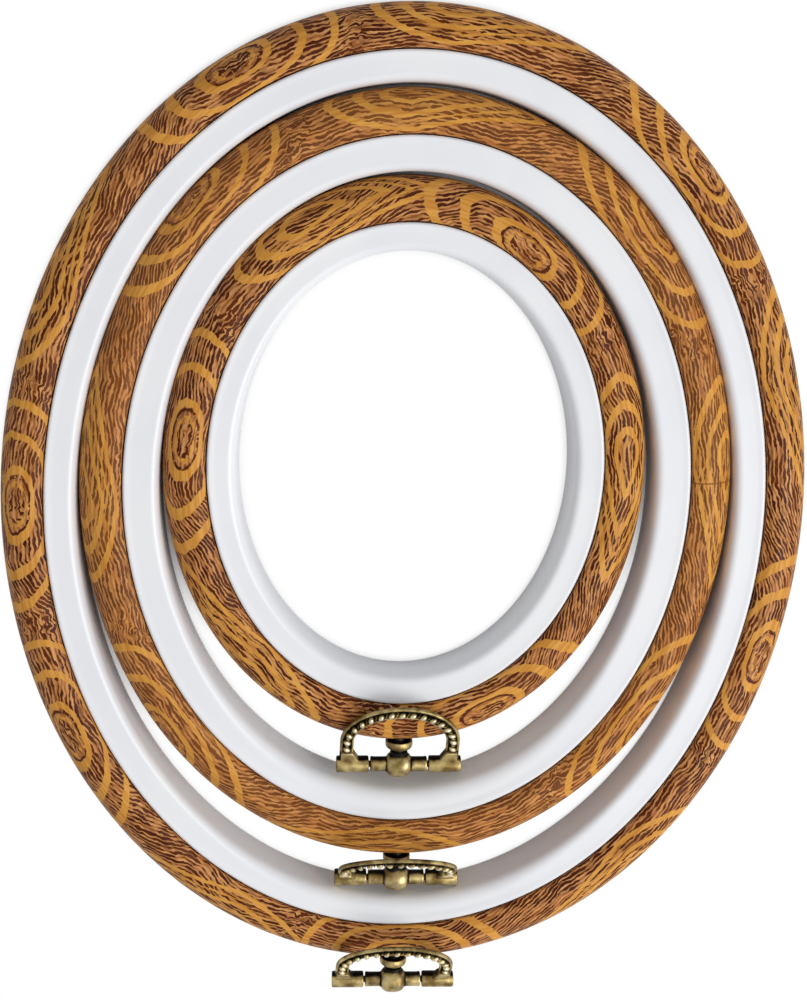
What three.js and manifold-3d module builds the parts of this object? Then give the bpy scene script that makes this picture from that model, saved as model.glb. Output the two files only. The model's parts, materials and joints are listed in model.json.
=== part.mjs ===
// A nested set of three oval embroidery hoops with brass hangers.
// Millimetres, +Z up. The hoops lie on their backs, heads to +Y and hangers to -Y.
import * as THREE from 'three';
import Module from 'manifold-3d';
import { mergeVertices } from 'three/addons/utils/BufferGeometryUtils.js';

const wasm = await Module();
wasm.setup();

// Clearance between pieces that touch
const TOUCH_GAP = 0.3;

// Oval of the large hoop, along the seam where its two rings meet
const LARGE_HALF_WIDTH = 83.4;
const LARGE_HALF_LENGTH = 103.9;

// Play that lets each smaller hoop lie inside the next one
const MIDDLE_SIDE_PLAY = 1.0;
const MIDDLE_HEAD_PLAY = 1.6;
const MIDDLE_HANGER_PLAY = 0.8;
const MIDDLE_SHIFT = 0;
const SMALL_SIDE_PLAY = 2.2;
const SMALL_HEAD_PLAY = 1.7;
const SMALL_HANGER_PLAY = 2.2;
const SMALL_SHIFT = -0.7;
const SMALL_TURN_DEGREES = 0.4;

// Outer ring, a soft vinyl band with a domed face
const BAND_WIDTH = 9.8;
const BAND_HEIGHT = 11.2;
const BAND_WIDEST_HEIGHT = 5.0;
const BAND_FOOT_TUCK = 1.8;
const BAND_CREST_INSET = 3.4;
const BAND_LIP_DROP = 1.2;

// Inner ring, a hard white channel that is open at the back
const LARGE_FACE_WIDTH = 7.0;
const MIDDLE_FACE_WIDTH = 7.7;
const SMALL_FACE_WIDTH = 6.3;
const FACE_DROP = 1.8;
const FACE_FULLNESS = 2.5;
const RIM_WIDTH = 0.6;
const RIM_HEIGHT = 0.35;
const INNER_WALL_HEIGHT = 3.0;
const CHANNEL_WALL = 1.7;
const FLANGE_REACH = 2.2;
const FLANGE_THICKNESS = 1.2;

// Hanger: stud, cup washer, ball barrel and pin
const PIN_STANDOFF = 6.4;
const PIN_HEIGHT = 5.9;
const PIN_RADIUS = 0.8;
const BALL_RADIUS = 3.2;
const NECK_RADIUS = 2.1;
const NECK_HEIGHT = 3.35;
const NECK_FLARE = 0.5;
const STUB_RADIUS = 1.85;
const STUB_END = 6.75;
const STUB_ROUNDING = 0.3;
const STUD_RADIUS = 1.5;
const STUD_GRIP = 7.0;
const STUD_SOCKET_DEPTH = 1.5;
const CUP_RADIUS = 3.25;
const CUP_RIM = 0.9;
const CUP_HEIGHT = 2.4;
const CUP_CROWN_RADIUS = 2.2;
const CUP_WALL = 0.5;

// Hanger: bail with a tube at the foot of each leg
const KNUCKLE_RADIUS = 2.0;
const KNUCKLE_LENGTH = 7.7;
const KNUCKLE_END_WALL = 1.5;
const KNUCKLE_GAP = 0.45;
const BAIL_REACH = 19.8;
const BAIL_INSET = 0.7;
const BAIL_LEG = 8.0;
const STRAP_WIDTH = 3.2;
const STRAP_BACK = 1.2;
const STRAP_THICKNESS = 1.2;
const STRAP_RIM = 0.7;
const STRAP_INNER_RIM = 0.5;
const STRAP_CHANNEL_DEPTH = 0.3;
const FOOT_HEIGHT = 2.6;
const FOOT_FLARE = 1.5;
const FOOT_THICKNESS = 2.1;

// Hanger: row of slanting beads in the channel of the bail's strap
const BEAD_PITCH = 2.5;
const BEAD_LENGTH = 2.0;
const BEAD_BREADTH = 1.3;
const BEAD_HEIGHT = 1.8;
const BEAD_STAND = 1.05;
const BEAD_SLANT_DEGREES = 35;

// Angle of each bail above the table as it lies
const LARGE_BAIL_DEGREES = 43;
const MIDDLE_BAIL_DEGREES = 56;
const SMALL_BAIL_DEGREES = 30;

// Smoothness
const RING_CHORD = 11.5;
const TUBE_SIDES = 16;
const SLIM_TUBE_SIDES = 12;
const BAIL_STEPS = 22;

const finishes = {
  vinyl: { color: 0xa8662e, roughness: 0.5, metalness: 0 },
  white: { color: 0xeef0f2, roughness: 0.35, metalness: 0 },
  brass: { color: 0x84713f, roughness: 0.35, metalness: 1 },
  steel: { color: 0x8f8a80, roughness: 0.4, metalness: 1 },
};

// Points of a quarter oval from one point to another, whose sides meet at the corner.
// The first point is left out. A fullness of 2 is an ellipse, and more is squarer.
function quarter(from, corner, to, pieces, fullness = 2) {
  const centre = [from[0] + to[0] - corner[0], from[1] + to[1] - corner[1]];
  const points = [];
  for (let i = 1; i <= pieces; i++) {
    const angle = (Math.PI / 2) * (i / pieces);
    const near = i === pieces ? 0 : Math.cos(angle) ** (2 / fullness);
    const far = Math.sin(angle) ** (2 / fullness);
    points.push([0, 1].map((k) => centre[k] + (from[k] - centre[k]) * near + (to[k] - centre[k]) * far));
  }
  return points;
}

// A closed ring: the section goes once round the oval and stays square to it
function ovalRing(oval, section) {
  const around = Math.PI * (oval.halfWidth + oval.halfLength + 2 * BAND_WIDTH);
  const steps = 4 * Math.round(around / RING_CHORD / 4);
  const count = section.length;
  const positions = [];
  const faces = [];
  for (let i = 0; i < steps; i++) {
    const angle = (2 * Math.PI * i) / steps;
    const [c, s] = [Math.cos(angle), Math.sin(angle)];
    const outward = new THREE.Vector2(c / oval.halfWidth, s / oval.halfLength).normalize();
    for (const [offset, height] of section) {
      const x = oval.halfWidth * c + outward.x * offset;
      const y = oval.halfLength * s + outward.y * offset;
      positions.push(x, y, height);
    }
    for (let j = 0; j < count; j++) {
      const here = i * count;
      const next = ((i + 1) % steps) * count;
      const up = (j + 1) % count;
      faces.push(here + j, next + j, next + up, here + j, next + up, here + up);
    }
  }
  const geometry = new THREE.BufferGeometry();
  geometry.setAttribute('position', new THREE.Float32BufferAttribute(positions, 3));
  geometry.setIndex(faces);
  return geometry;
}

// A turned piece: its profile of [radius, place along the axis] goes round the Y axis
function turned(profile, sides = TUBE_SIDES) {
  return new THREE.LatheGeometry(profile.map((point) => new THREE.Vector2(...point)), sides);
}

// The same about the X axis, with the places running to +X
function turnedAcross(profile, sides) {
  return turned(profile, sides).rotateZ(-Math.PI / 2);
}

function toSolid(geometry) {
  const bare = geometry.clone();
  bare.deleteAttribute('normal');
  bare.deleteAttribute('uv');
  const merged = mergeVertices(bare, 1e-4);
  const corners = merged.index.array;
  const kept = [];
  for (let i = 0; i < corners.length; i += 3) {
    const [a, b, c] = corners.slice(i, i + 3);
    if (a !== b && b !== c && c !== a) kept.push(a, b, c);
  }
  return new wasm.Manifold(new wasm.Mesh({
    numProp: 3,
    vertProperties: new Float32Array(merged.attributes.position.array),
    triVerts: new Uint32Array(kept),
  }));
}

function toGeometry(solid) {
  const mesh = solid.getMesh();
  const geometry = new THREE.BufferGeometry();
  geometry.setAttribute('position', new THREE.Float32BufferAttribute(mesh.vertProperties, 3));
  geometry.setIndex(Array.from(mesh.triVerts));
  geometry.computeVertexNormals();
  return geometry;
}

const cut = (body, ...tools) => tools.reduce((solid, tool) => solid.subtract(toSolid(tool)), toSolid(body));
const joined = (...pieces) => pieces.map(toSolid).reduce((solid, piece) => solid.add(piece));

function named(name, finish, geometry) {
  const mesh = new THREE.Mesh(geometry, new THREE.MeshStandardMaterial(finishes[finish]));
  mesh.name = name;
  return mesh;
}

// Section of the vinyl band, from its foot round the dome and down the wall at the seam
function bandSection() {
  const shelf = FLANGE_THICKNESS + TOUCH_GAP;
  const footIn = FLANGE_REACH + TOUCH_GAP;
  const footOut = BAND_WIDTH - BAND_FOOT_TUCK;
  const widest = [BAND_WIDTH, BAND_WIDEST_HEIGHT];
  const crest = [BAND_CREST_INSET, BAND_HEIGHT];
  const lip = [0, BAND_HEIGHT - BAND_LIP_DROP];
  return [
    [footIn, 0],
    [footOut, 0],
    ...quarter([footOut, 0], [BAND_WIDTH, 0], widest, 2),
    ...quarter(widest, [BAND_WIDTH, BAND_HEIGHT], crest, 5),
    ...quarter(crest, [0, BAND_HEIGHT], lip, 2),
    [0, shelf],
    [footIn, shelf],
  ];
}

// Section of the white ring: back flange, seam wall, rim, rolled face and hollow back
function channelSection(faceWidth) {
  const faceTop = BAND_HEIGHT - FACE_DROP;
  const rimIn = -TOUCH_GAP - RIM_WIDTH;
  const faceStart = [rimIn - RIM_HEIGHT, faceTop];
  const faceEnd = [-faceWidth, INNER_WALL_HEIGHT];
  const hollowIn = -faceWidth + CHANNEL_WALL;
  const hollowOut = -TOUCH_GAP - CHANNEL_WALL;
  const hollowTop = faceTop - CHANNEL_WALL;
  const hollowTurn = [hollowIn, INNER_WALL_HEIGHT];
  return [
    [FLANGE_REACH, 0],
    [FLANGE_REACH, FLANGE_THICKNESS],
    [-TOUCH_GAP, FLANGE_THICKNESS],
    [-TOUCH_GAP, faceTop + RIM_HEIGHT],
    [rimIn, faceTop + RIM_HEIGHT],
    faceStart,
    ...quarter(faceStart, [-faceWidth, faceTop], faceEnd, 4, FACE_FULLNESS),
    [-faceWidth, 0],
    [hollowIn, 0],
    hollowTurn,
    ...quarter(hollowTurn, [hollowIn, hollowTop], [hollowOut, hollowTop], 2, FACE_FULLNESS),
    [hollowOut, 0],
  ];
}

// Places along the stud, from the band's widest line towards the ball
const socketFloor = PIN_STANDOFF - NECK_HEIGHT + STUD_SOCKET_DEPTH;
const studEnd = socketFloor - TOUCH_GAP;
const boreRadius = PIN_RADIUS + TOUCH_GAP;
const knuckleStart = STUB_END + KNUCKLE_GAP;
const knuckleEnd = knuckleStart + KNUCKLE_LENGTH;

// Threaded stud: it grips the vinyl band and ends in the ball's socket
function stud() {
  return turned([
    [0, -studEnd],
    [STUD_RADIUS, -studEnd],
    [STUD_RADIUS, STUD_GRIP - STUD_RADIUS],
    [0, STUD_GRIP],
  ]);
}

// The hole that the stud turns in
function studHole(from, to) {
  const radius = STUD_RADIUS + TOUCH_GAP;
  return turned([[0, from], [radius, from], [radius, to], [0, to]]);
}

// Cup washer: its hollow side sits on the band's round edge
function cupWasher() {
  const bore = STUD_RADIUS + TOUCH_GAP;
  const crown = [CUP_CROWN_RADIUS, -CUP_HEIGHT];
  const rimEnd = [CUP_RADIUS, -TOUCH_GAP - CUP_RIM];
  return turned([
    [bore, -CUP_HEIGHT],
    crown,
    ...quarter(crown, [CUP_RADIUS, -CUP_HEIGHT], rimEnd, 2),
    [CUP_RADIUS, -TOUCH_GAP],
    [CUP_RADIUS - CUP_WALL, -TOUCH_GAP],
    [CUP_RADIUS - CUP_WALL, -TOUCH_GAP - CUP_RIM],
    [bore, CUP_WALL - CUP_HEIGHT],
    [bore, -CUP_HEIGHT],
  ]);
}

// Ball barrel: a ball with a neck round the stud and a stub on each side, drilled for the pin
function ballBarrel() {
  const join = Math.asin(STUB_RADIUS / BALL_RADIUS);
  const ball = [];
  const pieces = 6;
  for (let i = 0; i <= pieces; i++) {
    const angle = join + (Math.PI - 2 * join) * (i / pieces);
    ball.push([BALL_RADIUS * Math.sin(angle), -BALL_RADIUS * Math.cos(angle)]);
  }
  const barrel = turnedAcross([
    [boreRadius, -STUB_END],
    [STUB_RADIUS - STUB_ROUNDING, -STUB_END],
    [STUB_RADIUS, -STUB_END + STUB_ROUNDING],
    ...ball,
    [STUB_RADIUS, STUB_END - STUB_ROUNDING],
    [STUB_RADIUS - STUB_ROUNDING, STUB_END],
    [boreRadius, STUB_END],
    [boreRadius, -STUB_END],
  ]);
  const neckFoot = BALL_RADIUS / 2;
  const neck = turned([
    [0, neckFoot],
    [NECK_RADIUS + NECK_FLARE, neckFoot],
    [NECK_RADIUS, NECK_HEIGHT],
    [0, NECK_HEIGHT],
  ]);
  const socket = studHole(PIN_STANDOFF - socketFloor, NECK_HEIGHT + TOUCH_GAP);
  return toGeometry(joined(barrel, neck).subtract(toSolid(socket)));
}

function hingePin() {
  const end = knuckleEnd - KNUCKLE_END_WALL - TOUCH_GAP;
  return turnedAcross([[0, -end], [PIN_RADIUS, -end], [PIN_RADIUS, end], [0, end]], SLIM_TUBE_SIDES);
}

// A tube that holds one end of the pin, closed at its outer end
function knuckle(side) {
  const blind = knuckleEnd - KNUCKLE_END_WALL;
  const tube = turnedAcross([
    [0, blind],
    [boreRadius, blind],
    [boreRadius, knuckleStart],
    [KNUCKLE_RADIUS - STUB_ROUNDING, knuckleStart],
    [KNUCKLE_RADIUS, knuckleStart + STUB_ROUNDING],
    [KNUCKLE_RADIUS, knuckleEnd - STUB_ROUNDING],
    [KNUCKLE_RADIUS - STUB_ROUNDING, knuckleEnd],
    [0, knuckleEnd],
  ], SLIM_TUBE_SIDES);
  return side > 0 ? tube : tube.rotateZ(Math.PI);
}

// Middle line of the bail's strap: up one leg, over a half oval and down the other leg
const legLine = knuckleEnd - BAIL_INSET - STRAP_WIDTH / 2;
const legFoot = (boreRadius + KNUCKLE_RADIUS) / 2 - 0.1;
class BailLine extends THREE.Curve {
  getPoint(t, target = new THREE.Vector3()) {
    const legShare = 0.15;
    const along = THREE.MathUtils.clamp((t - legShare) / (1 - 2 * legShare), 0, 1);
    const angle = Math.PI * (1 - along);
    const rise = BAIL_REACH - STRAP_WIDTH / 2 - BAIL_LEG;
    const down = (Math.max(legShare - t, t - 1 + legShare, 0) / legShare) * (BAIL_LEG - legFoot);
    return target.set(legLine * Math.cos(angle), BAIL_LEG + rise * Math.sin(angle) - down, 0);
  }
}

// Section of the strap: a rim on each edge of its front, with a channel between them.
// The first number runs to the back of the strap and the second to its outer edge.
const strapFront = STRAP_THICKNESS - STRAP_BACK;
function strapSection() {
  const half = STRAP_WIDTH / 2;
  const round = STRAP_THICKNESS / 4;
  const floor = STRAP_CHANNEL_DEPTH - strapFront;
  return new THREE.Shape([
    [STRAP_BACK, half - round],
    [STRAP_BACK - round, half],
    [-strapFront, half],
    [-strapFront, half - STRAP_RIM],
    [floor, half - STRAP_RIM],
    [floor, STRAP_INNER_RIM - half],
    [-strapFront, STRAP_INNER_RIM - half],
    [-strapFront, -half],
    [STRAP_BACK - round, -half],
    [STRAP_BACK, round - half],
  ].map((point) => new THREE.Vector2(...point)));
}

// Flared foot that carries a leg down to its knuckle
const footTop = KNUCKLE_RADIUS + FOOT_HEIGHT;
function foot(side) {
  const outer = legLine + STRAP_WIDTH / 2 - STUB_ROUNDING;
  const inner = legLine - STRAP_WIDTH / 2;
  const shape = new THREE.Shape([
    [outer, legFoot],
    [outer, footTop],
    [inner, footTop],
    [inner - FOOT_FLARE, KNUCKLE_RADIUS],
    [inner - FOOT_FLARE, legFoot],
  ].map((point) => new THREE.Vector2(side * point[0], point[1])));
  const block = new THREE.ExtrudeGeometry(shape, { depth: FOOT_THICKNESS, bevelEnabled: false });
  return block.translate(0, 0, -STRAP_BACK);
}

// Beads like a twisted cord, from the top of one foot to the top of the other
function beads(line) {
  const length = line.getLength();
  const start = footTop - legFoot;
  const count = Math.round((length - 2 * start) / BEAD_PITCH);
  const row = [];
  for (let i = 0; i < count; i++) {
    const share = (start + ((length - 2 * start) * (i + 0.5)) / count) / length;
    const place = line.getPointAt(share);
    const along = line.getTangentAt(share);
    const slant = Math.atan2(along.y, along.x) - THREE.MathUtils.degToRad(BEAD_SLANT_DEGREES);
    const bead = new THREE.IcosahedronGeometry(0.5);
    bead.scale(BEAD_BREADTH, BEAD_LENGTH, BEAD_HEIGHT);
    bead.rotateZ(slant);
    row.push(bead.translate(place.x, place.y, strapFront + BEAD_STAND - BEAD_HEIGHT / 2));
  }
  return row;
}

function bail() {
  const line = new BailLine();
  const strap = new THREE.ExtrudeGeometry(strapSection(), { steps: BAIL_STEPS, extrudePath: line });
  return toGeometry(joined(strap, ...beads(line), knuckle(1), knuckle(-1), foot(1), foot(-1)));
}

// One hoop with its hanger, in its own frame: centre of the oval on the table at the origin
function hoop({ name, oval, faceWidth, bailDegrees }) {
  const tail = -(oval.halfLength + BAND_WIDTH);
  const hole = studHole(-BAND_FOOT_TUCK, STUD_GRIP + TOUCH_GAP);
  hole.translate(0, tail, PIN_HEIGHT);
  const band = toGeometry(cut(ovalRing(oval, bandSection()), hole));
  const channel = toGeometry(toSolid(ovalRing(oval, channelSection(faceWidth))));

  const hanger = new THREE.Group();
  hanger.position.set(0, tail, PIN_HEIGHT);
  hanger.add(named(`${name}_stud`, 'steel', stud()));
  hanger.add(named(`${name}_cup_washer`, 'brass', cupWasher()));

  const pivot = new THREE.Group();
  pivot.position.set(0, -PIN_STANDOFF, 0);
  pivot.add(named(`${name}_ball_barrel`, 'brass', ballBarrel()));
  const swing = new THREE.Group();
  swing.rotation.x = THREE.MathUtils.degToRad(bailDegrees);
  swing.add(named(`${name}_hinge_pin`, 'steel', hingePin()));
  swing.add(named(`${name}_bail`, 'brass', bail()));
  pivot.add(swing);
  hanger.add(pivot);

  const whole = new THREE.Group();
  whole.add(named(`${name}_outer_ring`, 'vinyl', band));
  whole.add(named(`${name}_inner_ring`, 'white', channel));
  whole.add(hanger);
  return whole;
}

// Oval and place of a hoop that lies inside another, with its hanger in the wider gap
function nested(around, { sidePlay, headPlay, hangerPlay, shift }) {
  const tailPlay = PIN_STANDOFF + BALL_RADIUS + hangerPlay;
  const opening = {
    halfWidth: around.oval.halfWidth - around.faceWidth,
    halfLength: around.oval.halfLength - around.faceWidth,
  };
  return {
    oval: {
      halfWidth: opening.halfWidth - sidePlay - BAND_WIDTH,
      halfLength: opening.halfLength - (headPlay + tailPlay) / 2 - BAND_WIDTH,
    },
    x: around.x + shift,
    y: around.y + (tailPlay - headPlay) / 2,
  };
}

const large = {
  name: 'large',
  oval: { halfWidth: LARGE_HALF_WIDTH, halfLength: LARGE_HALF_LENGTH },
  faceWidth: LARGE_FACE_WIDTH,
  bailDegrees: LARGE_BAIL_DEGREES,
  turnDegrees: 0,
  x: 0,
  y: (PIN_STANDOFF + BALL_RADIUS) / 2,
};
const middle = {
  name: 'middle',
  faceWidth: MIDDLE_FACE_WIDTH,
  bailDegrees: MIDDLE_BAIL_DEGREES,
  turnDegrees: 0,
  ...nested(large, {
    sidePlay: MIDDLE_SIDE_PLAY,
    headPlay: MIDDLE_HEAD_PLAY,
    hangerPlay: MIDDLE_HANGER_PLAY,
    shift: MIDDLE_SHIFT,
  }),
};
const small = {
  name: 'small',
  faceWidth: SMALL_FACE_WIDTH,
  bailDegrees: SMALL_BAIL_DEGREES,
  turnDegrees: SMALL_TURN_DEGREES,
  ...nested(middle, {
    sidePlay: SMALL_SIDE_PLAY,
    headPlay: SMALL_HEAD_PLAY,
    hangerPlay: SMALL_HANGER_PLAY,
    shift: SMALL_SHIFT,
  }),
};

// The whole set, centred on the table under its overall box
const hoopSet = new THREE.Group();
for (const part of [large, middle, small]) {
  const placed = hoop(part);
  placed.position.set(part.x, part.y, 0);
  placed.rotation.z = THREE.MathUtils.degToRad(part.turnDegrees);
  hoopSet.add(placed);
}

export default hoopSet;
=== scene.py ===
# %% [markdown]
# Three oval embroidery hoops lie nested on a table. Each has a soft vinyl band with a printed
# oak figure, a hard white ring inside it, and an antique brass hanger at its foot end.
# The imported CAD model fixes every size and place, and this file only dresses it.

import json
import math
from functools import partial, reduce

import bmesh
import bpy
from mathutils import Matrix, Vector


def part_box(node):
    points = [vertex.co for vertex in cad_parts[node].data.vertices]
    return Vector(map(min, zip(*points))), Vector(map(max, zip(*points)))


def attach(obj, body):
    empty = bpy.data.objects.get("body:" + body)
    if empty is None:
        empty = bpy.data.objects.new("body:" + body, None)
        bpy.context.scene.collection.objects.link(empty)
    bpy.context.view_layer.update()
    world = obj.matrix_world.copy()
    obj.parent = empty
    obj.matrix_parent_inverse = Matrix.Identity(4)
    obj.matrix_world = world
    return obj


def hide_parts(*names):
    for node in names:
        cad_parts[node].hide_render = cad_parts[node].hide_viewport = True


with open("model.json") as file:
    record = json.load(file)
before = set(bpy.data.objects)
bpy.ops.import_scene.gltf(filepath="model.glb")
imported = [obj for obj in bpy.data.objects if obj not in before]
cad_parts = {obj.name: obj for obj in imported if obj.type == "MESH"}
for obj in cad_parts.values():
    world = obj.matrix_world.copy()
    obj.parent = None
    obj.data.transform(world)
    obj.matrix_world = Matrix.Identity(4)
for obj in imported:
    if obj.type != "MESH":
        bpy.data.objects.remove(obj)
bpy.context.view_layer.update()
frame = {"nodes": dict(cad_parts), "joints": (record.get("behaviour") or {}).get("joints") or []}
MM = 0.001
HOOPS = ("large", "middle", "small")

# %% [markdown]
# The camera looks down on the set from a little beyond the heads of the ovals, so it comes
# first. Its place in metres and its turn in degrees were found by fitting the outlines of all
# three ovals at once, because one oval alone would also fit a tilted circle.

# %% Camera at the photograph's angle
CAMERA_PLACE = (-0.03562, 0.12077, 0.4584)
CAMERA_TURN = (-14.284, -3.9396, 1.7444)
CAMERA_LENS = 72.8
bpy.ops.object.camera_add(
    location=CAMERA_PLACE, rotation=[math.radians(degrees) for degrees in CAMERA_TURN]
)
camera = bpy.context.object
camera.data.lens = CAMERA_LENS
camera.data.clip_start = 10 * MM
bpy.context.scene.camera = camera
print("camera height in mm:", round(camera.location.z / MM))

# %% [markdown]
# Every hoop has the same band and hanger, and only its oval differs. The seam between band
# and white ring is the line that everything is measured from, as a maker would do, so each
# hoop keeps its centre, its half sizes along that seam, and its small turn as it lies. The
# white ring's flange is the widest whole oval, so the sizes are read from it.

# %% Places of the three hoops
FLANGE_REACH = 2.2
joints = {joint["name"]: joint for joint in frame["joints"]}


class Hoop:
    def __init__(self, name):
        self.name = name
        low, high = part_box(name + "_inner_ring")
        self.centre = Vector(((low.x + high.x) / 2, (low.y + high.y) / 2, 0))
        self.half_width = (high.x - low.x) / 2 - FLANGE_REACH * MM
        self.half_length = (high.y - low.y) / 2 - FLANGE_REACH * MM
        swing = joints[name + "_bail_swing"]
        self.pin = Vector(swing["pos_m"])
        self.turn = math.atan2(swing["axis"][1], swing["axis"][0])

    def flat_place(self):
        return Matrix.Translation(self.centre) @ Matrix.Rotation(self.turn, 4, "Z")

    def pin_place(self, lean=0.0):
        turned = Matrix.Translation(self.pin) @ Matrix.Rotation(self.turn, 4, "Z")
        return turned @ Matrix.Rotation(math.radians(lean), 4, "X")


hoops = [Hoop(name) for name in HOOPS]

# %% [markdown]
# Both rings and all turned brass pieces are shaped in one way: a circle is the first loop, and
# each next loop is extruded from the last, then resized and moved. The last loop is bridged to
# the first, which closes the shell. On an oval the two half sizes grow by the same amount,
# which keeps the section's width nearly constant all round.

# %% Grow a piece loop by loop
def start_clean():
    if bpy.context.object and bpy.context.object.mode != "OBJECT":
        bpy.ops.object.mode_set(mode="OBJECT")
    bpy.ops.object.select_all(action="DESELECT")


def grow(name, loops, sides):
    """loops is a list of (half width, half length, height) in metres."""
    start_clean()
    bpy.ops.mesh.primitive_circle_add(vertices=sides, radius=1)
    piece = bpy.context.object
    piece.name = piece.data.name = name
    bpy.ops.object.mode_set(mode="EDIT")
    wide, long, high = loops[0]
    bpy.ops.transform.resize(value=(wide, long, 1), center_override=(0, 0, 0))
    bpy.ops.transform.translate(value=(0, 0, high))
    for (wide, long, high), (next_wide, next_long, next_high) in zip(loops, loops[1:]):
        bpy.ops.mesh.extrude_edges_move()
        growth = (next_wide / wide, next_long / long, 1)
        bpy.ops.transform.resize(value=growth, center_override=(0, 0, 0))
        bpy.ops.transform.translate(value=(0, 0, next_high - high))
    bpy.ops.mesh.select_all(action="DESELECT")
    bpy.ops.mesh.select_non_manifold()
    bpy.ops.mesh.bridge_edge_loops()
    bpy.ops.mesh.select_all(action="SELECT")
    bpy.ops.mesh.normals_make_consistent(inside=False)
    bpy.ops.object.mode_set(mode="OBJECT")
    return piece


def smooth(piece, degrees=35):
    start_clean()
    piece.select_set(True)
    bpy.context.view_layer.objects.active = piece
    bpy.ops.object.shade_smooth_by_angle(angle=math.radians(degrees))


# %% [markdown]
# The sections are drawn as a few points joined by quarter ovals. A fuller quarter is squarer,
# which is what a moulded face looks like: flat on top, then quickly rolled over.

# %% Quarter ovals for the sections
def quarter(start, corner, end, pieces, fullness=2.0):
    """Points after start, up to end, on a bend that swings out toward corner."""
    centre = [start[k] + end[k] - corner[k] for k in (0, 1)]
    points = []
    for i in range(1, pieces + 1):
        angle = math.pi / 2 * i / pieces
        near = 0 if i == pieces else math.cos(angle) ** (2 / fullness)
        far = math.sin(angle) ** (2 / fullness)
        points.append(
            [centre[k] + (start[k] - centre[k]) * near + (end[k] - centre[k]) * far for k in (0, 1)]
        )
    return points


def oval_loops(hoop, section):
    return [(hoop.half_width + x * MM, hoop.half_length + x * MM, z * MM) for x, z in section]


middle_point = quarter([0, 0], [0, 1], [1, 1], 2)[0]
print("middle of a quarter circle:", [round(x, 2) for x in middle_point])

# %% [markdown]
# The printed figure follows the band round the oval, so the band gets its own UV map in
# millimetres: along the seam in one direction and over the dome in the other. It starts at the
# right side of the oval, beside the weld that shows on the middle band.

# %% Lay a map along the band
RING_SIDES = 360
SEAM_STEPS = 4000
FULL_TURN = 2 * math.pi


def distance_over(section):
    run = [0.0]
    for a, b in zip(section, section[1:]):
        run.append(run[-1] + math.dist(a, b))
    return run


def distance_round(hoop):
    """Distance along the seam in mm, at equal steps of the oval's angle."""
    run = [0.0]
    for i in range(SEAM_STEPS):
        angle = FULL_TURN * (i + 0.5) / SEAM_STEPS
        dx, dy = hoop.half_width * math.sin(angle), hoop.half_length * math.cos(angle)
        run.append(run[-1] + math.hypot(dx, dy) * FULL_TURN / SEAM_STEPS / MM)
    return run


def lay_map(piece, hoop, section):
    """Vertices lie loop after loop, so a vertex's number gives its loop."""
    over, seam = distance_over(section), distance_round(hoop)
    around = seam[-1]

    def along(vertex):
        x, y = vertex.co.x / hoop.half_width, vertex.co.y / hoop.half_length
        turn = math.atan2(y, x) % FULL_TURN
        return seam[round(turn / FULL_TURN * SEAM_STEPS) % SEAM_STEPS]

    mesh = piece.data
    layer = mesh.uv_layers.new(name="band_map")
    places = [along(vertex) for vertex in mesh.vertices]
    for face in mesh.polygons:
        us = [places[v] for v in face.vertices]
        vs = [over[min(v // RING_SIDES, len(over) - 1)] for v in face.vertices]
        for corner, u, v in zip(face.loop_indices, us, vs):
            layer.data[corner].uv = (u + around if max(us) - u > around / 2 else u, v)
    return around


print("large hoop's seam in mm:", round(distance_round(hoops[0])[-1]))

# %% [markdown]
# The vinyl band has a flat foot, a widest line a little below half its height, a high dome near
# the seam, and a small lip that drops to the white ring. The groove under it takes the white
# ring's flange. A fine mesh of it keeps the shine smooth.

# %% Vinyl bands
BAND_WIDTH = 9.8
BAND_HEIGHT = 11.2
LIP_HEIGHT = 10.4
FLANGE_TOP = 1.2
SEAM_PLAY = 0.3
GROOVE_REACH = FLANGE_REACH + SEAM_PLAY
GROOVE_TOP = FLANGE_TOP + SEAM_PLAY
lip_start, lip_end = [0, 9.6], [0.5, LIP_HEIGHT]
crest, widest, foot_edge = [3.4, BAND_HEIGHT], [BAND_WIDTH, 5.0], [8.0, 0.0]
band_section = [
    [GROOVE_REACH, GROOVE_TOP],
    [0, GROOVE_TOP],
    lip_start,
    *quarter(lip_start, [0, LIP_HEIGHT], lip_end, 3),
    *quarter(lip_end, [1.4, BAND_HEIGHT], crest, 4),
    *quarter(crest, [BAND_WIDTH, BAND_HEIGHT], widest, 14),
    *quarter(widest, [BAND_WIDTH, 0.0], foot_edge, 6),
    [GROOVE_REACH, 0],
]
bands, lengths = {}, {}
for hoop in hoops:
    band = grow(hoop.name + "_band", oval_loops(hoop, band_section), RING_SIDES)
    lengths[hoop.name] = lay_map(band, hoop, band_section)
    smooth(band)
    band.data.transform(hoop.flat_place())
    bands[hoop.name] = band
    print(band.name, "length round the seam in mm:", round(lengths[hoop.name]))

# %% [markdown]
# The white ring is a moulded channel that is open at the back. Its thin rim shows as a bright
# line beside the band, its face rolls down to a short inner wall, and its flange lies under
# the band. A full face reaches a little further in than the solid's width. At the foot end,
# where it has to leave room for the hanger of the hoop inside, it is slimmer. Both sections
# have the same number of points, so a grown ring can be moved from one to the other there.

# %% Sections of the white ring
FACE_WIDTHS = {"large": 7.0, "middle": 7.7, "small": 6.3}
FACE_REACHES = {"large": 7.5, "middle": 8.5, "small": 6.9}
FACE_ROLL = 2.2
OUTER_WALL = 1.7
INNER_WALL = 1.7
HOLLOW_TOP = 7.7
rim = [[-SEAM_PLAY, 9.5], [-0.5, 9.68], [-0.75, 9.78], [-1.0, 9.77], [-1.6, 9.66]]


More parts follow.
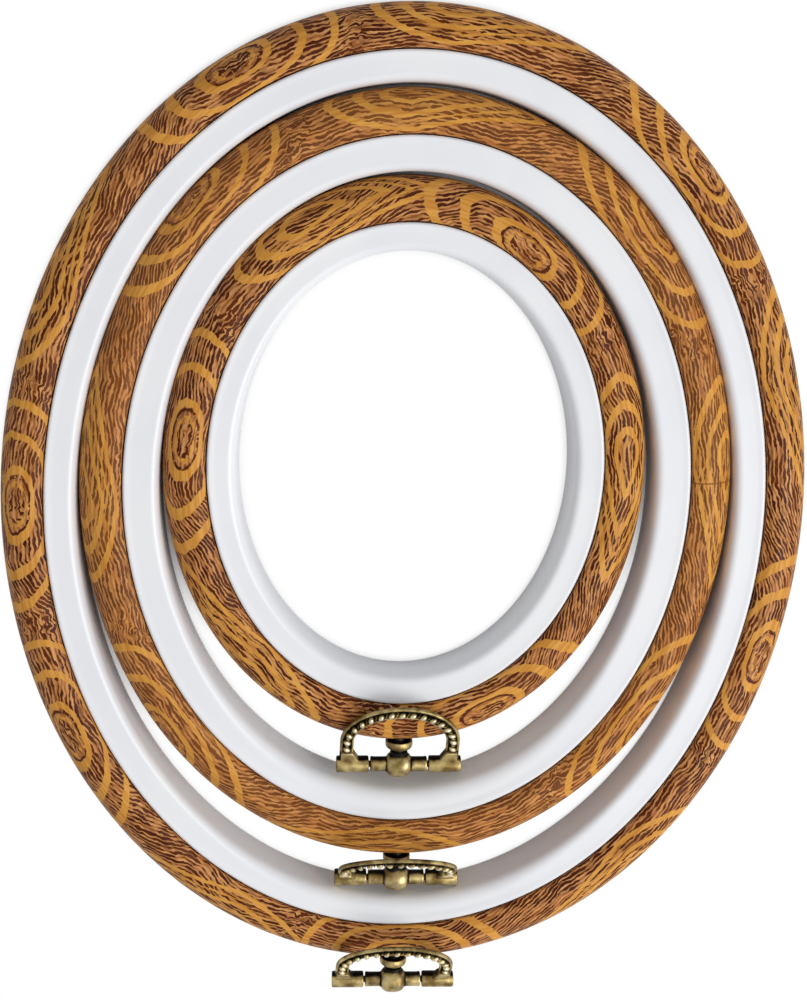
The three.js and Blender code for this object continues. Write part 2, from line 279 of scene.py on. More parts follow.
def channel_section(face, roll_start, roll_end, foot, fullness):
    roll_corner = [roll_end[0], roll_start[1]]
    hollow_start, hollow_end = [INNER_WALL - face, 3.0], [-SEAM_PLAY - OUTER_WALL, HOLLOW_TOP]
    return [
        [FLANGE_REACH, 0],
        [FLANGE_REACH, FLANGE_TOP],
        [-SEAM_PLAY, FLANGE_TOP],
        *rim,
        [-2.4, roll_start[1] + 0.06],
        roll_start,
        *quarter(roll_start, roll_corner, roll_end, 12, fullness),
        [foot, 0.3],
        [foot + 0.1, 0.05],
        [foot + 0.3, 0],
        [0.9 - face, 0],
        hollow_start,
        *quarter(hollow_start, [hollow_start[0], HOLLOW_TOP], hollow_end, 5, 2.5),
        [hollow_end[0], 0],
    ]


def full_section(face, reach):
    return channel_section(face, [FACE_ROLL - reach, 9.52], [-reach, 6.2], -face - 1.3, 2.4)


def slim_section(face):
    return channel_section(face, [-2.6, 9.38], [0.1 - face, 5.0], -face - 1.0, 2.45)


sections = {}
for name in HOOPS:
    face = FACE_WIDTHS[name]
    sections[name] = (full_section(face, FACE_REACHES[name]), slim_section(face))
    print(name, "ring's points in each section:", [len(section) for section in sections[name]])

# %% [markdown]
# The rings are grown with the full section. On the large and the middle one, each point near
# the foot end then moves to the slim section by a weight that eases from 1 to 0, so the face
# narrows without a kink. The small hoop has no hanger inside and stays as it is.

# %% White rings
SLIM_WITHIN = 18.0
SLIM_FADE = 36.0


def slim_at_foot_end(channel, hoop, full, slim):
    """Weight is 1 beside the hanger of the hoop inside, and eases to 0 further out."""
    for number, vertex in enumerate(channel.data.vertices):
        loop = min(number // RING_SIDES, len(full) - 1)
        across = vertex.co.x / (hoop.half_width + full[loop][0] * MM)
        down = vertex.co.y / (hoop.half_length + full[loop][0] * MM)
        away = min(max((abs(vertex.co.x) / MM - SLIM_WITHIN) / SLIM_FADE, 0), 1)
        weight = 1 - away * away * (3 - 2 * away)
        if down < 0 and weight > 0:
            x, z = (a + (b - a) * weight for a, b in zip(full[loop], slim[loop]))
            vertex.co.x = across * (hoop.half_width + x * MM)
            vertex.co.y = down * (hoop.half_length + x * MM)
            vertex.co.z = z * MM


channels = {}
for hoop in hoops:
    full, slim = sections[hoop.name]
    channel = grow(hoop.name + "_channel", oval_loops(hoop, full), RING_SIDES)
    if hoop.name != "small":
        slim_at_foot_end(channel, hoop, full, slim)
    smooth(channel)
    channel.data.transform(hoop.flat_place())
    channels[hoop.name] = channel
    print(channel.name, "faces:", len(channel.data.polygons))

# %% [markdown]
# The cup washer is a small turned brass cup between the band's edge and the ball. It is grown
# along its own axis, standing up at the origin, and is laid down when it is placed. It is made
# once, and each hoop gets a copy with its own mesh, as it does of the ball and the bail.

# %% Cup washer
CUP_RADIUS = 3.25
CUP_TOP = 2.4
CUP_FOOT = 0.3


def turned(name, profile, sides=48):
    """profile is a list of radius and height in mm."""
    piece = grow(name, [(r * MM, r * MM, z * MM) for r, z in profile], sides)
    smooth(piece, 30)
    return piece


cup = turned(
    "cup",
    [
        [1.7, CUP_TOP - 0.1],
        [1.8, CUP_TOP],
        [2.1, CUP_TOP],
        *quarter([2.1, CUP_TOP], [CUP_RADIUS, CUP_TOP], [CUP_RADIUS, 1.2], 8),
        [CUP_RADIUS, 0.45],
        *quarter([CUP_RADIUS, 0.45], [CUP_RADIUS, CUP_FOOT], [3.1, CUP_FOOT], 2),
        [2.95, CUP_FOOT],
        *quarter([2.95, CUP_FOOT], [2.75, CUP_FOOT], [2.75, 0.6], 2),
        [2.72, 1.1],
        *quarter([2.72, 1.1], [2.72, 1.9], [1.7, 1.9], 5),
    ],
)
print("cup width in mm:", round(max(v.co.x for v in cup.data.vertices) * 2 / MM, 1))

# %% [markdown]
# The ball barrel is a ball with a tube out of each side, which the pin runs through. The ball
# is a little squarer than a sphere, and a crease divides it from its tubes. A neck joins it to
# the cup, and is grown in the same way, turned to point there, and joined to the ball.

# %% Ball barrel
BALL = 3.2
BALL_CREASE = 2.3
BALL_FULLNESS = 2.7
quarter_ball = quarter([0, -BALL], [BALL, -BALL], [BALL, 0], 20, BALL_FULLNESS)
lower_ball = [[r, z] for r, z in quarter_ball if r > BALL_CREASE]
lower_stub = [
    [1.1, -6.75],
    [1.6, -6.75],
    [1.8, -6.65],
    [1.85, -6.45],
    [1.85, -6.2],
    [1.78, -6.1],
    [1.78, -3.3],
    [1.84, -3.0],
    [1.98, -2.8],
]
lower_half = lower_stub + lower_ball
ball = turned("ball", lower_half + [[r, -z] for r, z in reversed(lower_half[:-1])])
neck = turned(
    "neck",
    [
        [1.7, 1.6],
        [2.6, 1.6],
        [2.5, 1.95],
        [2.3, 2.3],
        [2.15, 2.7],
        [2.1, 3.2],
        [2.0, 3.35],
        [1.7, 3.35],
    ],
)
neck.data.transform(Matrix.Rotation(-math.pi / 2, 4, "X"))
start_clean()
neck.select_set(True)
ball.select_set(True)
bpy.context.view_layer.objects.active = ball
bpy.ops.object.join()
print("ball barrel length in mm:", round(max(v.co.z for v in ball.data.vertices) * 2 / MM, 1))

# %% [markdown]
# The bail is a cast D-shaped loop. Its strap has a smooth outer rim, a row of slanting beads
# like a rope, and a thin inner rim. The middle line is drawn as a curve, and a flat section
# curve is swept along it, which keeps the section square to the line in every bend.

# %% Strap of the bail
LEG_LINE = 12.6
BAIL_REACH = 19.8
BAIL_LEG = 8.0
STRAP = 3.2
LEG_FOOT = 1.45
LEG_SHARE = 0.15
STRAP_STEPS = 90


def strap_line(share):
    """Place on the middle line in mm, from the right foot over the crown to the left foot."""
    turn = math.pi * min(max((share - LEG_SHARE) / (1 - 2 * LEG_SHARE), 0), 1)
    below = max(LEG_SHARE - share, share - 1 + LEG_SHARE, 0) / LEG_SHARE
    rise = BAIL_REACH - STRAP / 2 - BAIL_LEG
    height = BAIL_LEG + rise * math.sin(turn) - below * (BAIL_LEG - LEG_FOOT)
    return Vector((LEG_LINE * math.cos(turn), height, 0))


def drawn_curve(name, points, closed):
    start_clean()
    bpy.ops.curve.primitive_bezier_curve_add()
    curve = bpy.context.object
    curve.name = name
    curve.data.splines.clear()
    line = curve.data.splines.new("POLY")
    line.points.add(len(points) - 1)
    for point, place in zip(line.points, points):
        point.co = (place[0] * MM, place[1] * MM, 0, 1)
    line.use_cyclic_u = closed
    return curve


strap_section = [
    [1.3, -1.0],
    [1.5, -0.92],
    [1.6, -0.7],
    [1.6, -0.3],
    [1.55, -0.1],
    [1.4, 0.0],
    [1.1, 0.0],
    [0.95, -0.1],
    [0.9, -0.35],
    [-1.1, -0.35],
    [-1.15, -0.1],
    [-1.25, 0.0],
    [-1.45, 0.0],
    [-1.57, -0.1],
    [-1.6, -0.3],
    [-1.6, -0.7],
    [-1.5, -0.92],
    [-1.3, -1.0],
]
strap_points = [strap_line(i / STRAP_STEPS) for i in range(STRAP_STEPS + 1)]
strap = drawn_curve("bail", strap_points, False)
profile = drawn_curve("strap_section", strap_section, True)
strap.data.dimensions = "3D"
strap.data.twist_mode = "Z_UP"
strap.data.bevel_mode = "OBJECT"
strap.data.bevel_object = profile
strap.data.use_fill_caps = True
start_clean()
strap.select_set(True)
bpy.context.view_layer.objects.active = strap
bpy.ops.object.convert(target="MESH")
bpy.data.objects.remove(profile)
print("strap faces:", len(strap.data.polygons))

# %% [markdown]
# The beads fill the strap's channel from foot to foot. A bead lies across the strap and aslant
# to it, with a thin ridge between each two, so the row reads as a twisted cord. One of each is
# modelled and copied along the middle line at equal distances.

# %% Beads along the strap
BEADS = 17
BEAD_SIZE = (0.72, 1.06, 0.9)
BEAD_HEIGHT = 0.14
RIDGE_SIZE = (0.2, 0.95, 0.7)
RIDGE_HEIGHT = -0.1
SLANT = math.radians(-35)
FOOT_TOP = 4.6
RUN_STEPS = 1200
strap_run = [strap_line(i / RUN_STEPS) for i in range(RUN_STEPS + 1)]
bead_run = [place for place in strap_run if place.y >= FOOT_TOP]
bead_ends = [0.0]
for a, b in zip(bead_run, bead_run[1:]):
    bead_ends.append(bead_ends[-1] + (b - a).length)


def made_bead(half_sizes, segments, rings):
    start_clean()
    bpy.ops.mesh.primitive_uv_sphere_add(segments=segments, ring_count=rings, radius=1)
    bead = bpy.context.object
    bpy.ops.object.mode_set(mode="EDIT")
    size = [half * MM for half in half_sizes]
    bpy.ops.transform.resize(value=size, center_override=(0, 0, 0))
    bpy.ops.object.mode_set(mode="OBJECT")
    return bead


def set_along(bead, share, height):
    target = bead_ends[-1] * share
    k = next(j for j, run in enumerate(bead_ends) if run >= target)
    along = bead_run[min(k + 1, len(bead_run) - 1)] - bead_run[max(k - 1, 0)]
    copy = bead.copy()
    copy.data = bead.data.copy()
    bpy.context.collection.objects.link(copy)
    turn = Matrix.Rotation(math.atan2(along.y, along.x) + SLANT, 4, "Z")
    place = Vector((*bead_run[k].xy, height)) * MM
    copy.data.transform(Matrix.Translation(place) @ turn)
    return copy


bead, ridge = made_bead(BEAD_SIZE, 16, 10), made_bead(RIDGE_SIZE, 8, 6)
beads = [set_along(bead, (i + 0.5) / BEADS, BEAD_HEIGHT) for i in range(BEADS)]
beads += [set_along(ridge, (i + 1) / BEADS, RIDGE_HEIGHT) for i in range(BEADS - 1)]
for source in (bead, ridge):
    bpy.data.objects.remove(source)
print("beads and ridges on each bail:", len(beads))

# %% [markdown]
# Each leg stands on a flared foot, and the foot on a short tube that holds the pin. The foot is
# a block whose lower face is widened inwards, with its edges bevelled as castings are. The tube
# is open toward the ball, where the pin goes in. Its outer end is closed but for a pinprick,
# because a loop that is grown can't shrink to a point.

# %% Feet and tubes
FOOT_INNER = 11.0
FOOT_OUTER = 13.9
FOOT_FLARE = 1.5
FOOT_THICKNESS = 2.1
FOOT_LEVEL = -0.15
KNUCKLE_START = 7.2
KNUCKLE_END = 14.9
KNUCKLE_RADIUS = 2.0
KNUCKLE_WALL = 1.5
PIN_BORE = 1.1
PINPRICK = 0.05


def made_foot(side):
    start_clean()
    bpy.ops.mesh.primitive_cube_add(size=1)
    foot = bpy.context.object
    foot.name = "foot"
    bpy.ops.object.mode_set(mode="EDIT")
    size = (FOOT_OUTER - FOOT_INNER, FOOT_TOP - LEG_FOOT, FOOT_THICKNESS)
    middle = (side * (FOOT_OUTER + FOOT_INNER) / 2, (FOOT_TOP + LEG_FOOT) / 2, FOOT_LEVEL)
    bpy.ops.transform.resize(value=[x * MM for x in size], center_override=(0, 0, 0))
    bpy.ops.transform.translate(value=[x * MM for x in middle])
    sheet = bmesh.from_edit_mesh(foot.data)
    for vertex in sheet.verts:
        inner = abs(vertex.co.x) < abs(middle[0]) * MM
        vertex.select = inner and vertex.co.y < middle[1] * MM
    sheet.select_flush(True)
    bmesh.update_edit_mesh(foot.data)
    bpy.ops.transform.translate(value=(-side * FOOT_FLARE * MM, 0, 0))
    bpy.ops.mesh.select_all(action="SELECT")
    bpy.ops.mesh.bevel(offset=0.3 * MM, segments=3)
    bpy.ops.object.mode_set(mode="OBJECT")
    return foot


def made_tube(side):
    rounded_end = [[1.75, 0.0], [1.93, 0.1], [KNUCKLE_RADIUS, 0.35]]
    profile = [
        [PIN_BORE, KNUCKLE_START],
        *([r, KNUCKLE_START + z] for r, z in rounded_end),
        *([r, KNUCKLE_END - z] for r, z in reversed(rounded_end)),
        [PINPRICK, KNUCKLE_END],
        [PINPRICK, KNUCKLE_END - KNUCKLE_WALL],
        [PIN_BORE, KNUCKLE_END - KNUCKLE_WALL],
    ]
    tube = turned("tube", profile, 40)
    tube.data.transform(Matrix.Rotation(side * math.pi / 2, 4, "Y"))
    return tube


parts = [made_foot(1), made_foot(-1), made_tube(1), made_tube(-1), *beads]
smooth(strap, 40)
for part in parts:
    smooth(part, 40)
start_clean()
for part in parts + [strap]:
    part.select_set(True)
bpy.context.view_layer.objects.active = strap
bpy.ops.object.join()
print("bail faces:", len(strap.data.polygons))

# %% [markdown]
# The three hangers are copies in place. A bail leans on nothing in particular: each was left at
# its own angle, so the three angles are given one by one.

# %% Place the hangers
LEANS = {"large": 43, "middle": 56, "small": 30}
PIN_STANDOFF = 6.4
lie_across = Matrix.Rotation(math.pi / 2, 4, "Y")
point_out = Matrix.Rotation(math.pi / 2, 4, "X")


def placed_copy(source, name, matrix):
    piece = source.copy()
    piece.data = source.data.copy()
    piece.name = piece.data.name = name
    bpy.context.collection.objects.link(piece)
    piece.data.transform(matrix)
    return piece


cups, balls, bails = {}, {}, {}
for hoop in hoops:
    name = hoop.name
    edge = hoop.pin_place() @ Matrix.Translation((0, PIN_STANDOFF * MM, 0))
    cups[name] = placed_copy(cup, name + "_cup", edge @ point_out)
    balls[name] = placed_copy(ball, name + "_ball", hoop.pin_place() @ lie_across)
    bails[name] = placed_copy(strap, name + "_loop", hoop.pin_place(LEANS[name]))
for source in (cup, ball, strap):
    bpy.data.objects.remove(source)
print("hanger pieces:", len(cups) + len(balls) + len(bails))

# %% [markdown]
# Materials are written as sums on node sockets. This small class holds a socket and adds a Math
# node for each operator, so an expression in Python becomes a row of nodes.

# %% Sums on sockets
class Socket:
    def __init__(self, finish, socket):
        self.finish = finish
        self.socket = socket

    def math(self, operation, first, second=0.0):
        return self.finish.node("Math", {"operation": operation}, {0: first, 1: second})

    def __add__(self, other):
        return self.math("ADD", self, other)

    def __sub__(self, other):
        return self.math("SUBTRACT", self, other)

    def __rsub__(self, other):
        return self.math("SUBTRACT", other, self)

    def __mul__(self, other):
        return self.math("MULTIPLY", self, other)

    def __truediv__(self, other):
        return self.math("DIVIDE", self, other)

    def __rtruediv__(self, other):
        return self.math("DIVIDE", other, self)

    def sine(self):
        return self.math("SINE", self)

    def size(self):
        return self.math("ABSOLUTE", self)

    def floor(self):
        return self.math("FLOOR", self)

    def power(self, other):
        return self.math("POWER", self, other)

    def passes(self, other):
        return self.math("GREATER_THAN", self, other)

    def high(self, other):
        return self.math("MAXIMUM", self, other)

    def low(self, other):
        return self.math("MINIMUM", self, other)

    __radd__ = __add__
    __rmul__ = __mul__


# %% [markdown]
# A finish is one material, or the sky. Its node method adds any node from its type, its
# settings and its inputs, and the other methods are the few nodes that this object needs
# often. Colours are given as they look on a screen and made linear.

# %% Nodes of a finish
class Finish:
    def __init__(self, name, world=None):
        self.material = world or bpy.data.materials.new(name)
        self.material.use_nodes = True
        self.tree = self.material.node_tree
        self.shader = self.tree.nodes["Background" if world else "Principled BSDF"]

    def node(self, kind, settings, inputs, output=0):
        node = self.tree.nodes.new("ShaderNode" + kind)
        for key, value in settings.items():
            setattr(node, key, value)
        for key, value in inputs.items():
            self.feed(node.inputs[key], value)
        return Socket(self, node.outputs[output])

    def feed(self, entry, value):
        if isinstance(value, Socket):
            self.tree.links.new(value.socket, entry)
        else:
            entry.default_value = value

    def set(self, **values):
        for key, value in values.items():
            name = key.replace("_", " ").title().replace("Ior", "IOR")
            self.feed(self.shader.inputs[name], value)

    def step(self, value, start, end):
        settings = {"interpolation_type": "SMOOTHSTEP"}
        inputs = {"Value": value, "From Min": start, "From Max": end}
        return self.node("MapRange", settings, inputs)

    def mix(self, share, first, second):
        """A colour Mix node keeps its colours in inputs 6 and 7 and its result in output 2."""
        return self.node("Mix", {"data_type": "RGBA"}, {0: share, 6: first, 7: second}, 2)

    def noise(self, place, scale, detail):
        inputs = {"Vector": place, "Scale": scale, "Detail": detail}
        return self.node("TexNoise", {"noise_dimensions": "3D"}, inputs)

    def bump(self, height, distance, strength):
        inputs = {"Height": height, "Distance": distance, "Strength": strength}
        return self.node("Bump", {}, inputs)


def shade(red, green, blue):
    """A colour as seen on a screen, 0 to 255, made linear."""
    values = [value / 255 for value in (red, green, blue)]
    linear = [v / 12.92 if v <= 0.04045 else ((v + 0.055) / 1.055) ** 2.4 for v in values]
    return (*linear, 1.0)


print("mid grey made linear:", round(shade(128, 128, 128)[0], 3))

# %% [markdown]
# The oak print comes from a roller, so two figures take turns along the band. A knot is a core
# inside three golden rings, and its right flank leans. A bowl is a set of flat golden curves
# that hang from the outer edge, with a long left flank. The places of their middles were read
# off the photograph, in millimetres along the seam and over the dome.

# %% Where the print has its knots and bowls
KNOTS = {
    "large": [(78.8, 9.0), (188, 8.4), (294.8, 6.5), (348, 7.4), (444, 8.0), (557.5, 6.8)],
    "middle": [(59, 10.6), (168, 10.3), (288, 10.0), (409, 10.3)],
    "small": [(55, 3.6), (155.5, 5.7), (262, 7.3)],
}
BOWLS = {
    "large": [(32, 10.5), (141, 11.0), (249, 11.0), (405, 11.0), (502, 11.0)],
    "middle": [(8, 9.5), (118, 10.5), (234, 10.5), (344, 11.0)],
    "small": [(4, 5.5), (104, 8.0), (208, 9.5)],
}
print("figures on the large band:", len(KNOTS["large"]) + len(BOWLS["large"]))

# %% [markdown]
# A print has to know how far along the band and over its dome a point is. It reads both from
# the band's map and shakes them with noise, so that no line is quite regular. For the noise,
# the way along the band is wound on a circle, so that it meets itself.

# %% Find the way on the band
LIP_START = distance_over(band_section)[band_section.index(lip_start)]
LINE_EDGE = 0.012


class OakPrint(Finish):
    def __init__(self, hoop_name, seed):
        super().__init__(hoop_name + "_oak_print")
        self.hoop_name = hoop_name
        self.seed = seed
        self.length = lengths[hoop_name]
        place = self.node("UVMap", {"uv_map": "band_map"}, {})
        self.along, run = (self.node("SeparateXYZ", {}, {0: place}, side) for side in "XY")
        self.over = run - LIP_START
        turn = self.along * (FULL_TURN / self.length)
        radius = self.length / FULL_TURN
        self.circle = [(turn + math.pi / 2).sine() * radius, turn.sine() * radius]
        self.wavy = self.along + self.cloud(0.1, 0.5, 2.0) * 8.0
        self.shaky_along = self.along + self.cloud(0.25, 0.5, 3.0) * 1.6
        self.shaky_over = self.over + self.cloud(0.25, 0.5, 4.0) * 0.9
        self.ragged = self.cloud(0.8, 1.4, 5.0)

    def cloud(self, scale_along, scale_over, shift, detail=2.0, across=None):
        """Noise about zero. Each cloud of a print has a shift of its own."""
        circle_x, circle_y = self.circle
        across = across or self.over
        sides = {
            "X": circle_x * scale_along + self.seed * 7.0,
            "Y": circle_y * scale_along + shift,
            "Z": across * scale_over + shift,
        }
        return self.noise(self.node("CombineXYZ", {}, sides), 1.0, detail) - 0.5

    def from_middle(self, places, lead):
        """How far a point is from its figure's middle. Each figure starts lead mm before it."""
        first, last = places[0], places[-1]
        places = [(last[0] - self.length, last[1]), *places, (first[0] + self.length, first[1])]
        middle_along, middle_over = places[0]
        for (before, height), (after, next_height) in zip(places, places[1:]):
            passed = self.wavy.passes(after - lead)
            middle_along = passed * (after - before) + middle_along
            middle_over = passed * (next_height - height) + middle_over
        return self.shaky_along - middle_along, self.shaky_over - middle_over

    def lines(self, far, levels, half):
        """1 where far is within half a line's width of one of the levels, and 0 elsewhere."""
        gaps = [(far - level).size() for level in levels]
        return reduce(Socket.high, [1 - self.step(gap, half, half + LINE_EDGE) for gap in gaps])


print("band map at the lip in mm:", round(LIP_START, 1))

# %% [markdown]
# Each figure is a set of level lines of one distance, which is 1 on the figure's outline. Its
# fullness says whether the outline is a pinched, a round or a squarish oval: knots are squarish,
# and a bowl's left flank runs out nearly straight. The lines are thicker on the right.

# %% Golden lines of knots and bowls
KNOT_LEAD = 28.0
KNOT_HALF_LENGTH = 22.0
KNOT_HALF_BREADTH = 11.0
KNOT_FULLNESS = 2.4
KNOT_LEAN = 0.35
KNOT_RINGS = (0.345, 0.68, 1.0)
CORE_RING = 0.2
KNOT_RAG = 0.03
BOWL_LEAD = 32.0
BOWL_LEFT_FLANK = 28.0
BOWL_RIGHT_FLANK = 17.0
BOWL_DEPTH = 9.1
BOWL_CURVES = (0.3, 0.62, 0.97)
BOWL_LEFT_CURVE = 0.8
BOWL_RAG = 0.06


def oval_distance(along, over, fullness):
    return (along.size().power(fullness) + over.size().power(fullness)).power(1 / fullness)


def knot_lines(oak):
    """The way along and the distance from the knot's middle, and its golden rings."""
    x, y = oak.from_middle(KNOTS[oak.hoop_name], KNOT_LEAD)
    leaning = x - y * oak.step(x, 0.0, 12.0) * KNOT_LEAN
    far = oval_distance(leaning / KNOT_HALF_LENGTH, y / KNOT_HALF_BREADTH, KNOT_FULLNESS)
    edge = far + oak.ragged * KNOT_RAG
    rings = oak.lines(edge, KNOT_RINGS, oak.step(x, -7.0, 7.0) * 0.014 + 0.034)
    broken = oak.step(oak.cloud(0.6, 0.9, 7.0), -0.1, 0.05)
    return x, far, rings.high(oak.lines(edge, [CORE_RING], 0.02) * broken)


def bowl_lines(oak):
    """The distance from the bowl's middle, and its golden curves."""
    x, y = oak.from_middle(BOWLS[oak.hoop_name], BOWL_LEAD)
    right = oak.step(x, -4.0, 4.0)
    flank = BOWL_LEFT_FLANK - right * (BOWL_LEFT_FLANK - BOWL_RIGHT_FLANK)
    far = oval_distance(x / flank, y / BOWL_DEPTH, right * 0.5 + 1.2) + oak.ragged * BOWL_RAG
    curves = oak.lines(far, BOWL_CURVES, right * 0.012 + 0.045)
    return far, curves.high(oak.lines(far, [BOWL_LEFT_CURVE], 0.02) * (1 - right))


print("golden lines in a knot and a bowl:", len(KNOT_RINGS) + 1, len(BOWL_CURVES) + 1)

# %% [markdown]
# Dark broken strokes fill the space between the golden lines. They lie in rows that run along
# the band. Noise sways the rows, and breaks each row in its own way into dashes of uneven
# width. To the right of a knot the rows slant, and in its core and just outside its last ring
# they shiver.

# %% Dark strokes
STROKE_PITCH = 0.95
STROKE_SLANT = 0.45
STROKE_HALF_WIDTH = 0.35
CORE_DASHES = 0.278


def dark_strokes(oak, knot_x, knot_far):
    """The distance from the middle of a row, as a share of the pitch, and the strokes."""
    core = 1 - oak.step(knot_far, 0.17, 0.21)
    outside = 1 - oak.step((knot_far - 1.2).size(), 0.06, 0.14)
    outside = outside * (1 - oak.step(knot_x, -20.0, -16.0))
    shiver = oak.cloud(0.2, 0.3, 31.0) * 1.3 + oak.cloud(0.6, 0.6, 35.0) * 0.8
    sway = oak.cloud(0.05, 0.03, 11.0, 1.0) * 9.0 + shiver * (core * 1.5 + outside * 2.0 + 1.0)
    slant = (knot_x - 12.0).high(0.0).low(28.0) * STROKE_SLANT
    rows = (oak.over + sway + slant) / STROKE_PITCH
    row = rows.floor()
    off_row = (rows - row - 0.5 + oak.cloud(0.4, 2.9, 47.0, 1.0, row) * 0.7).size()
    half_width = (oak.cloud(0.3, 3.7, 41.0, 2.0, row) * 2.4 + 0.25).low(STROKE_HALF_WIDTH)
    stroke = oak.step(half_width - off_row, -0.06, 0.06)
    stroke = stroke * oak.step(knot_far, 0.3, 0.31).high(core)
    dashes = oak.lines(knot_far + oak.ragged * KNOT_RAG, [CORE_DASHES], 0.014)
    dashes = dashes * oak.step(oak.cloud(0.9, 0.9, 45.0), -0.12, -0.02)
    return off_row, stroke.high(dashes)


dome_run = distance_over(band_section)[band_section.index(foot_edge)] - LIP_START
print("rows of strokes over the dome:", round(dome_run / STROKE_PITCH))

# %% [markdown]
# The print is put together as a printer would do it: a brown ground with lighter streaks, gold
# over it in the lines and faintly inside the bowls, and dark ink in the strokes and in a few
# smeared places. The strokes are pressed in a little, and midway between their rows the ground
# is painted lighter, a painted highlight of that relief. The middle band's print is paler, and
# its weld shows as a dark line.

# %% Oak print on vinyl
GOLD_SHADES = (shade(196, 132, 52), shade(218, 158, 74))
INK_SHADES = (shade(70, 22, 2), shade(98, 44, 8))
# The lighter shade of each ground pair is also the painted highlight between rows of strokes.
DARK_GROUND_AND_SHEEN = (shade(158, 94, 44), shade(222, 162, 102))
SOFT_GROUND_AND_SHEEN = (shade(168, 102, 48), shade(216, 154, 90))
WELD_AT = 3.0


def oak_vinyl(hoop_name, seed, contrast, ground_and_sheen_shades, weld=None):
    oak = OakPrint(hoop_name, seed)
    knot_x, knot_far, rings = knot_lines(oak)
    bowl_far, curves = bowl_lines(oak)
    beside_knot = oak.step(knot_far, 1.04, 1.06)
    gold = rings.high(curves * beside_knot)
    off_row, stroke = dark_strokes(oak, knot_x, knot_far)
    stroke = stroke * (1 - gold)
    if weld:
        stroke = stroke.high((1 - oak.step((oak.along - weld).size(), 0.1, 0.2)) * 0.8)
    streak = oak.cloud(0.1, 1.5, 51.0, 4.0) + 0.5
    # Lighter ground: real streaks, plus a painted highlight of the pressed-in strokes midway
    # between rows.
    ground = oak.mix(oak.step(streak * 0.7 + off_row * 0.6, 0.3, 0.85), *ground_and_sheen_shades)
    amber = oak.mix(oak.step(streak, 0.35, 0.65), *GOLD_SHADES)
    in_bowl = (1 - oak.step(bowl_far, 0.8, 1.0)) * 0.4
    colour = oak.mix(gold.high(in_bowl * beside_knot), ground, amber)
    ink = oak.mix(oak.step(oak.cloud(0.08, 0.2, 61.0), -0.15, 0.15), *INK_SHADES)
    smear = oak.step(oak.cloud(0.22, 0.7, 71.0, 3.0), -0.04, 0.2) * (1 - gold) * 0.5
    oak.set(
        base_color=oak.mix(stroke.high(smear) * contrast, colour, ink),
        roughness=0.4 + oak.ragged * 0.1,
        specular_ior_level=0.12,
        normal=oak.bump(streak * 0.5 - stroke, 0.15 * MM, 0.8),
    )
    return oak.material


oaks = {
    "large": oak_vinyl("large", seed=1.0, contrast=1.0, ground_and_sheen_shades=DARK_GROUND_AND_SHEEN),
    "middle": oak_vinyl(
        "middle", seed=2.0, contrast=0.75, ground_and_sheen_shades=SOFT_GROUND_AND_SHEEN, weld=WELD_AT
    ),
    "small": oak_vinyl("small", seed=3.0, contrast=1.0, ground_and_sheen_shades=DARK_GROUND_AND_SHEEN),
}
print("oak prints:", [material.name for material in oaks.values()])

# %% [markdown]
# The white ring is glossy moulded plastic. It is very slightly blue, and a faint unevenness in
# its face keeps the reflections from looking like glass.

# %% White plastic
WHITE_SHADES = (shade(232, 234, 239), shade(237, 238, 241))


def white_plastic():
    white = Finish("white_plastic")
    place = white.node("TexCoord", {}, {}, "Object")
    cloud = white.noise(place, 45.0, 3.0)
    grain = white.noise(place, 1800.0, 2.0)
    white.set(
        base_color=white.mix(white.step(cloud, 0.3, 0.7), *WHITE_SHADES),
        roughness=0.28 + cloud * 0.1,
        normal=white.bump(cloud + grain * 0.1, 0.05 * MM, 0.5),
    )
    return white.material


white = white_plastic()
print("white rings' finish:", white.name)

# %% [markdown]
# Antique brass is plated, darkened and rubbed. The dark stays where a cloth can't reach, and
# the same dark is painted as shade on the sides that face the band. Each brass piece carries an
# attribute for its wear and its painted shade, and noise breaks it. What stands proudest is worn
# to a pale yellow.

# %% Antique brass and steel
# The patina colour is also the painted shade on the brass sides that face the band.
PATINA_AND_SHADE = shade(22, 16, 10)
RUBBED_SHADES = (shade(132, 108, 58), shade(206, 184, 124))
WORN = shade(240, 232, 200)
STEEL_SHADES = (shade(38, 34, 28), shade(74, 68, 58))


def antique_brass():
    brass = Finish("antique_brass")
    place = brass.node("TexCoord", {}, {}, "Object")
    wear_and_light = brass.node("Attribute", {"attribute_name": "wear_and_light"}, {}, "Fac")
    mottle = brass.noise(place, 420.0, 4.0)
    patch = brass.noise(place, 260.0, 2.0)
    # Low values give patina in hollows and painted shade on the sides toward the band.
    rub_and_light = brass.step(wear_and_light + (mottle - 0.5) * 1.3, 0.1, 0.8)
    worn = brass.step(wear_and_light + (mottle - 0.5) * 0.6, 0.7, 1.15)
    rubbed = brass.mix(brass.step(patch, 0.35, 0.65), *RUBBED_SHADES)
    brass.set(
        base_color=brass.mix(worn, brass.mix(rub_and_light, PATINA_AND_SHADE, rubbed), WORN),
        metallic=0.8,
        roughness=0.54 - rub_and_light * 0.14,
        normal=brass.bump(mottle, 0.12 * MM, 0.6),
    )
    return brass.material


def turned_steel():
    steel = Finish("turned_steel")
    mottle = steel.noise(steel.node("TexCoord", {}, {}, "Object"), 600.0, 3.0)
    colour = steel.mix(mottle, *STEEL_SHADES)
    steel.set(base_color=colour, metallic=1.0, roughness=0.3 + mottle * 0.2)
    return steel.material


brass, steel = antique_brass(), turned_steel()
print("metal finishes:", brass.name, steel.name)

# %% [markdown]
# What a cloth reaches is bright: the rims, the tops of the beads, the ball's belly and the
# fronts of the tubes. The channel between the beads stays black with patina. The side of each
# tube and of the ball that faces the band is painted dark as shade under the band's edge, partly
# patina by the joint. Each piece is measured at its own place, in millimetres from its pin.

